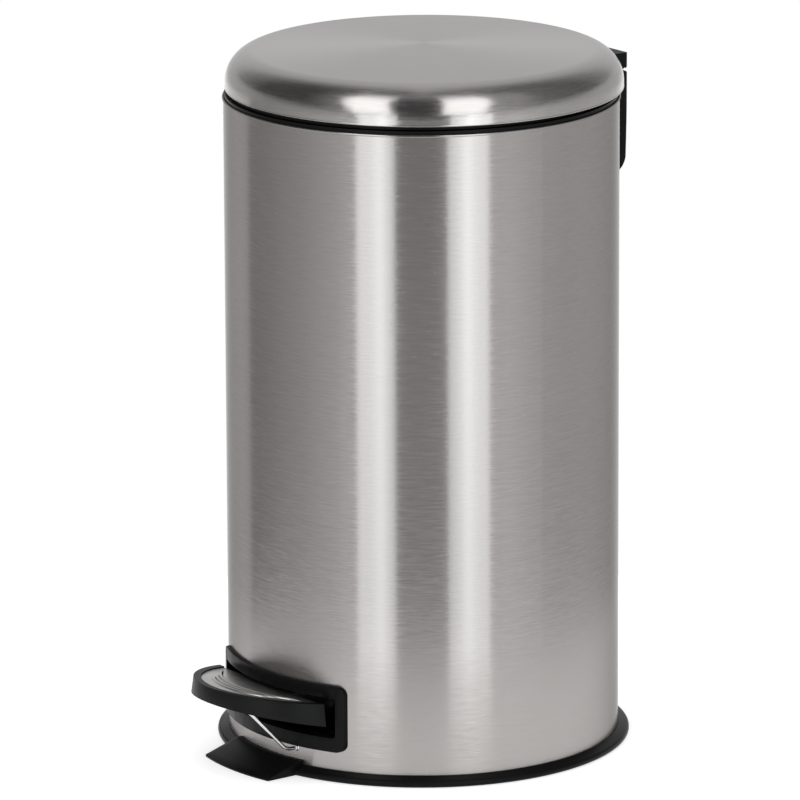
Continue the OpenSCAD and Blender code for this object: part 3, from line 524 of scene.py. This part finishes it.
def make_camera():
    data = bpy.data.cameras.new("camera")
    data.lens = CAM_LENS
    data.sensor_width = 36
    data.clip_end = CAM_CLIP
    cam = bpy.data.objects.new("camera", data)
    bpy.context.scene.collection.objects.link(cam)
    turn = (Matrix.Rotation(AZIMUTH - CAM_YAW, 4, "Z") @ Matrix.Rotation(math.pi / 2 - CAM_PITCH, 4, "X")
            @ Matrix.Rotation(CAM_ROLL, 4, "Z"))
    place = Vector((CAM_DIST * math.sin(AZIMUTH), -CAM_DIST * math.cos(AZIMUTH), CAM_HEIGHT))
    cam.matrix_world = Matrix.Translation(place) @ turn
    bpy.context.scene.camera = cam


def towards(azimuth_deg, dist, height):
    """A point round the bin, at an angle to the right of the camera's side."""
    a = AZIMUTH + math.radians(azimuth_deg)
    return Vector((dist * math.sin(a), -dist * math.cos(a), height))


def area_light(name, place, size, power, aim_height, colour=(1, 1, 1), shown=True):
    """Rectangular lamp aimed at a height on the bin's axis. Reflections leave out one that isn't shown."""
    data = bpy.data.lights.new(name, "AREA")
    data.color = colour
    data.shape = "RECTANGLE"
    data.size, data.size_y = size
    data.energy = power
    light = bpy.data.objects.new(name, data)
    light.location = place
    light.visible_glossy = shown
    aim = Vector((0, 0, aim_height))
    light.rotation_euler = (aim - light.location).to_track_quat("-Z", "Y").to_euler()
    bpy.context.scene.collection.objects.link(light)


def make_strip(side, degrees, width, core):
    """Upright strip lamp, brighter along its core."""
    lamps = [("wide", degrees, WIDE_DIST, width, WIDE_LEVEL)]
    lamps += [(part, core, dist, part_width, level) for part, dist, part_width, level in CORE_LAMPS]
    for part, angle, dist, part_width, level in lamps:
        area_light(f"{part}_{side}", towards(angle, dist, STRIP_MID), (part_width, STRIP_TALL),
                   level * part_width * STRIP_TALL, STRIP_MID, STRIP_COLOUR)


def make_top_lamp():
    degrees, dist, height, side, power, aim_height = TOP_LAMP
    area_light("top_soft", towards(degrees, dist, height), (side, side), power, aim_height, shown=False)


def shown_rays(tree):
    """1 for rays that show the background itself: from the camera, in reflections or through glass."""
    path = node(tree, "ShaderNodeLightPath")
    seen = maths(tree, "MAXIMUM", path.outputs["Is Camera Ray"], path.outputs["Is Transmission Ray"])
    return maths(tree, "MAXIMUM", seen, path.outputs["Is Glossy Ray"])


def make_world():
    """White wherever it is seen, and dimmer as a light."""
    world = bpy.data.worlds.new("studio")
    bpy.context.scene.world = world
    world.use_nodes = True
    tree = world.node_tree
    back = tree.nodes["Background"]
    tree.links.new(remap(tree, shown_rays(tree), 0, 1, WORLD_LIGHT, 1.0), back.inputs["Strength"])
    back.inputs["Color"].default_value = (1, 1, 1, 1)


def grey_at(greys, degrees, spread):
    """Grey of the card at an angle, straight between the listed ones, with its front spread sideways."""
    size, edge = abs(degrees), CARD_FRONT * spread
    if size < edge:
        size = size / spread
    else:
        size = 180 - (180 - size) * (180 - CARD_FRONT) / (180 - edge)
    degrees = math.copysign(size, degrees)
    for (a, grey_a), (b, grey_b) in zip(greys, greys[1:]):
        if a <= degrees <= b:
            return grey_a + (grey_b - grey_a) * (degrees - a) / (b - a)
    return greys[-1][1]


def make_card():
    """Wall and ceiling of graded grey that only reflections see."""
    mat, tree, _ = new_material("card")
    glow = node(tree, "ShaderNodeEmission")
    shade = node(tree, "ShaderNodeAttribute", attribute_name="grey")
    tree.links.new(shade.outputs["Color"], glow.inputs["Color"])
    tree.links.new(glow.outputs[0], tree.nodes["Material Output"].inputs["Surface"])
    n, m = CARD_SIDES, len(CARD_LEVELS)
    verts, greys = [], []
    for i in range(n):
        degrees = i * 360 / n - 180
        for height, radius, table, spread in CARD_LEVELS:
            verts.append(towards(degrees, radius, height))
            greys.append(grey_at(CARD_GREYS[table], degrees, spread))
    faces = []
    for i in range(n):
        k = (i + 1) % n
        faces += [(i * m + j, i * m + j + 1, k * m + j + 1, k * m + j) for j in range(m - 1)]
    card = new_piece("card", verts, faces, mat)
    layer = card.data.color_attributes.new("grey", "FLOAT_COLOR", "POINT")
    for item, grey in zip(layer.data, greys):
        item.color = (grey, grey, grey, 1)
    card.visible_camera = False
    card.visible_diffuse = False
    card.visible_shadow = False
    card.visible_transmission = False


def make_floor():
    """White round floor that keeps the bin's shadow."""
    mat, tree, bsdf = new_material("floor")
    bsdf.inputs["Base Color"].default_value = (FLOOR_GREY, FLOOR_GREY, FLOOR_GREY, 1)
    bsdf.inputs["Roughness"].default_value = FLOOR_ROUGH
    bsdf.inputs["Specular IOR Level"].default_value = 0
    bsdf.inputs["Emission Color"].default_value = (1, 1, 1, 1)
    glow = maths(tree, "MULTIPLY", shown_rays(tree), FLOOR_GLOW)
    tree.links.new(glow, bsdf.inputs["Emission Strength"])
    angles = [2 * math.pi * i / FLOOR_SIDES for i in range(FLOOR_SIDES)]
    verts = [(FLOOR_R * math.cos(a), FLOOR_R * math.sin(a), 0) for a in angles]
    floor = new_piece("floor", verts, [list(range(FLOOR_SIDES))], mat)


make_camera()
make_world()
make_floor()
make_card()
for side, strip in STRIPS.items():
    make_strip(side, *strip)
make_top_lamp()
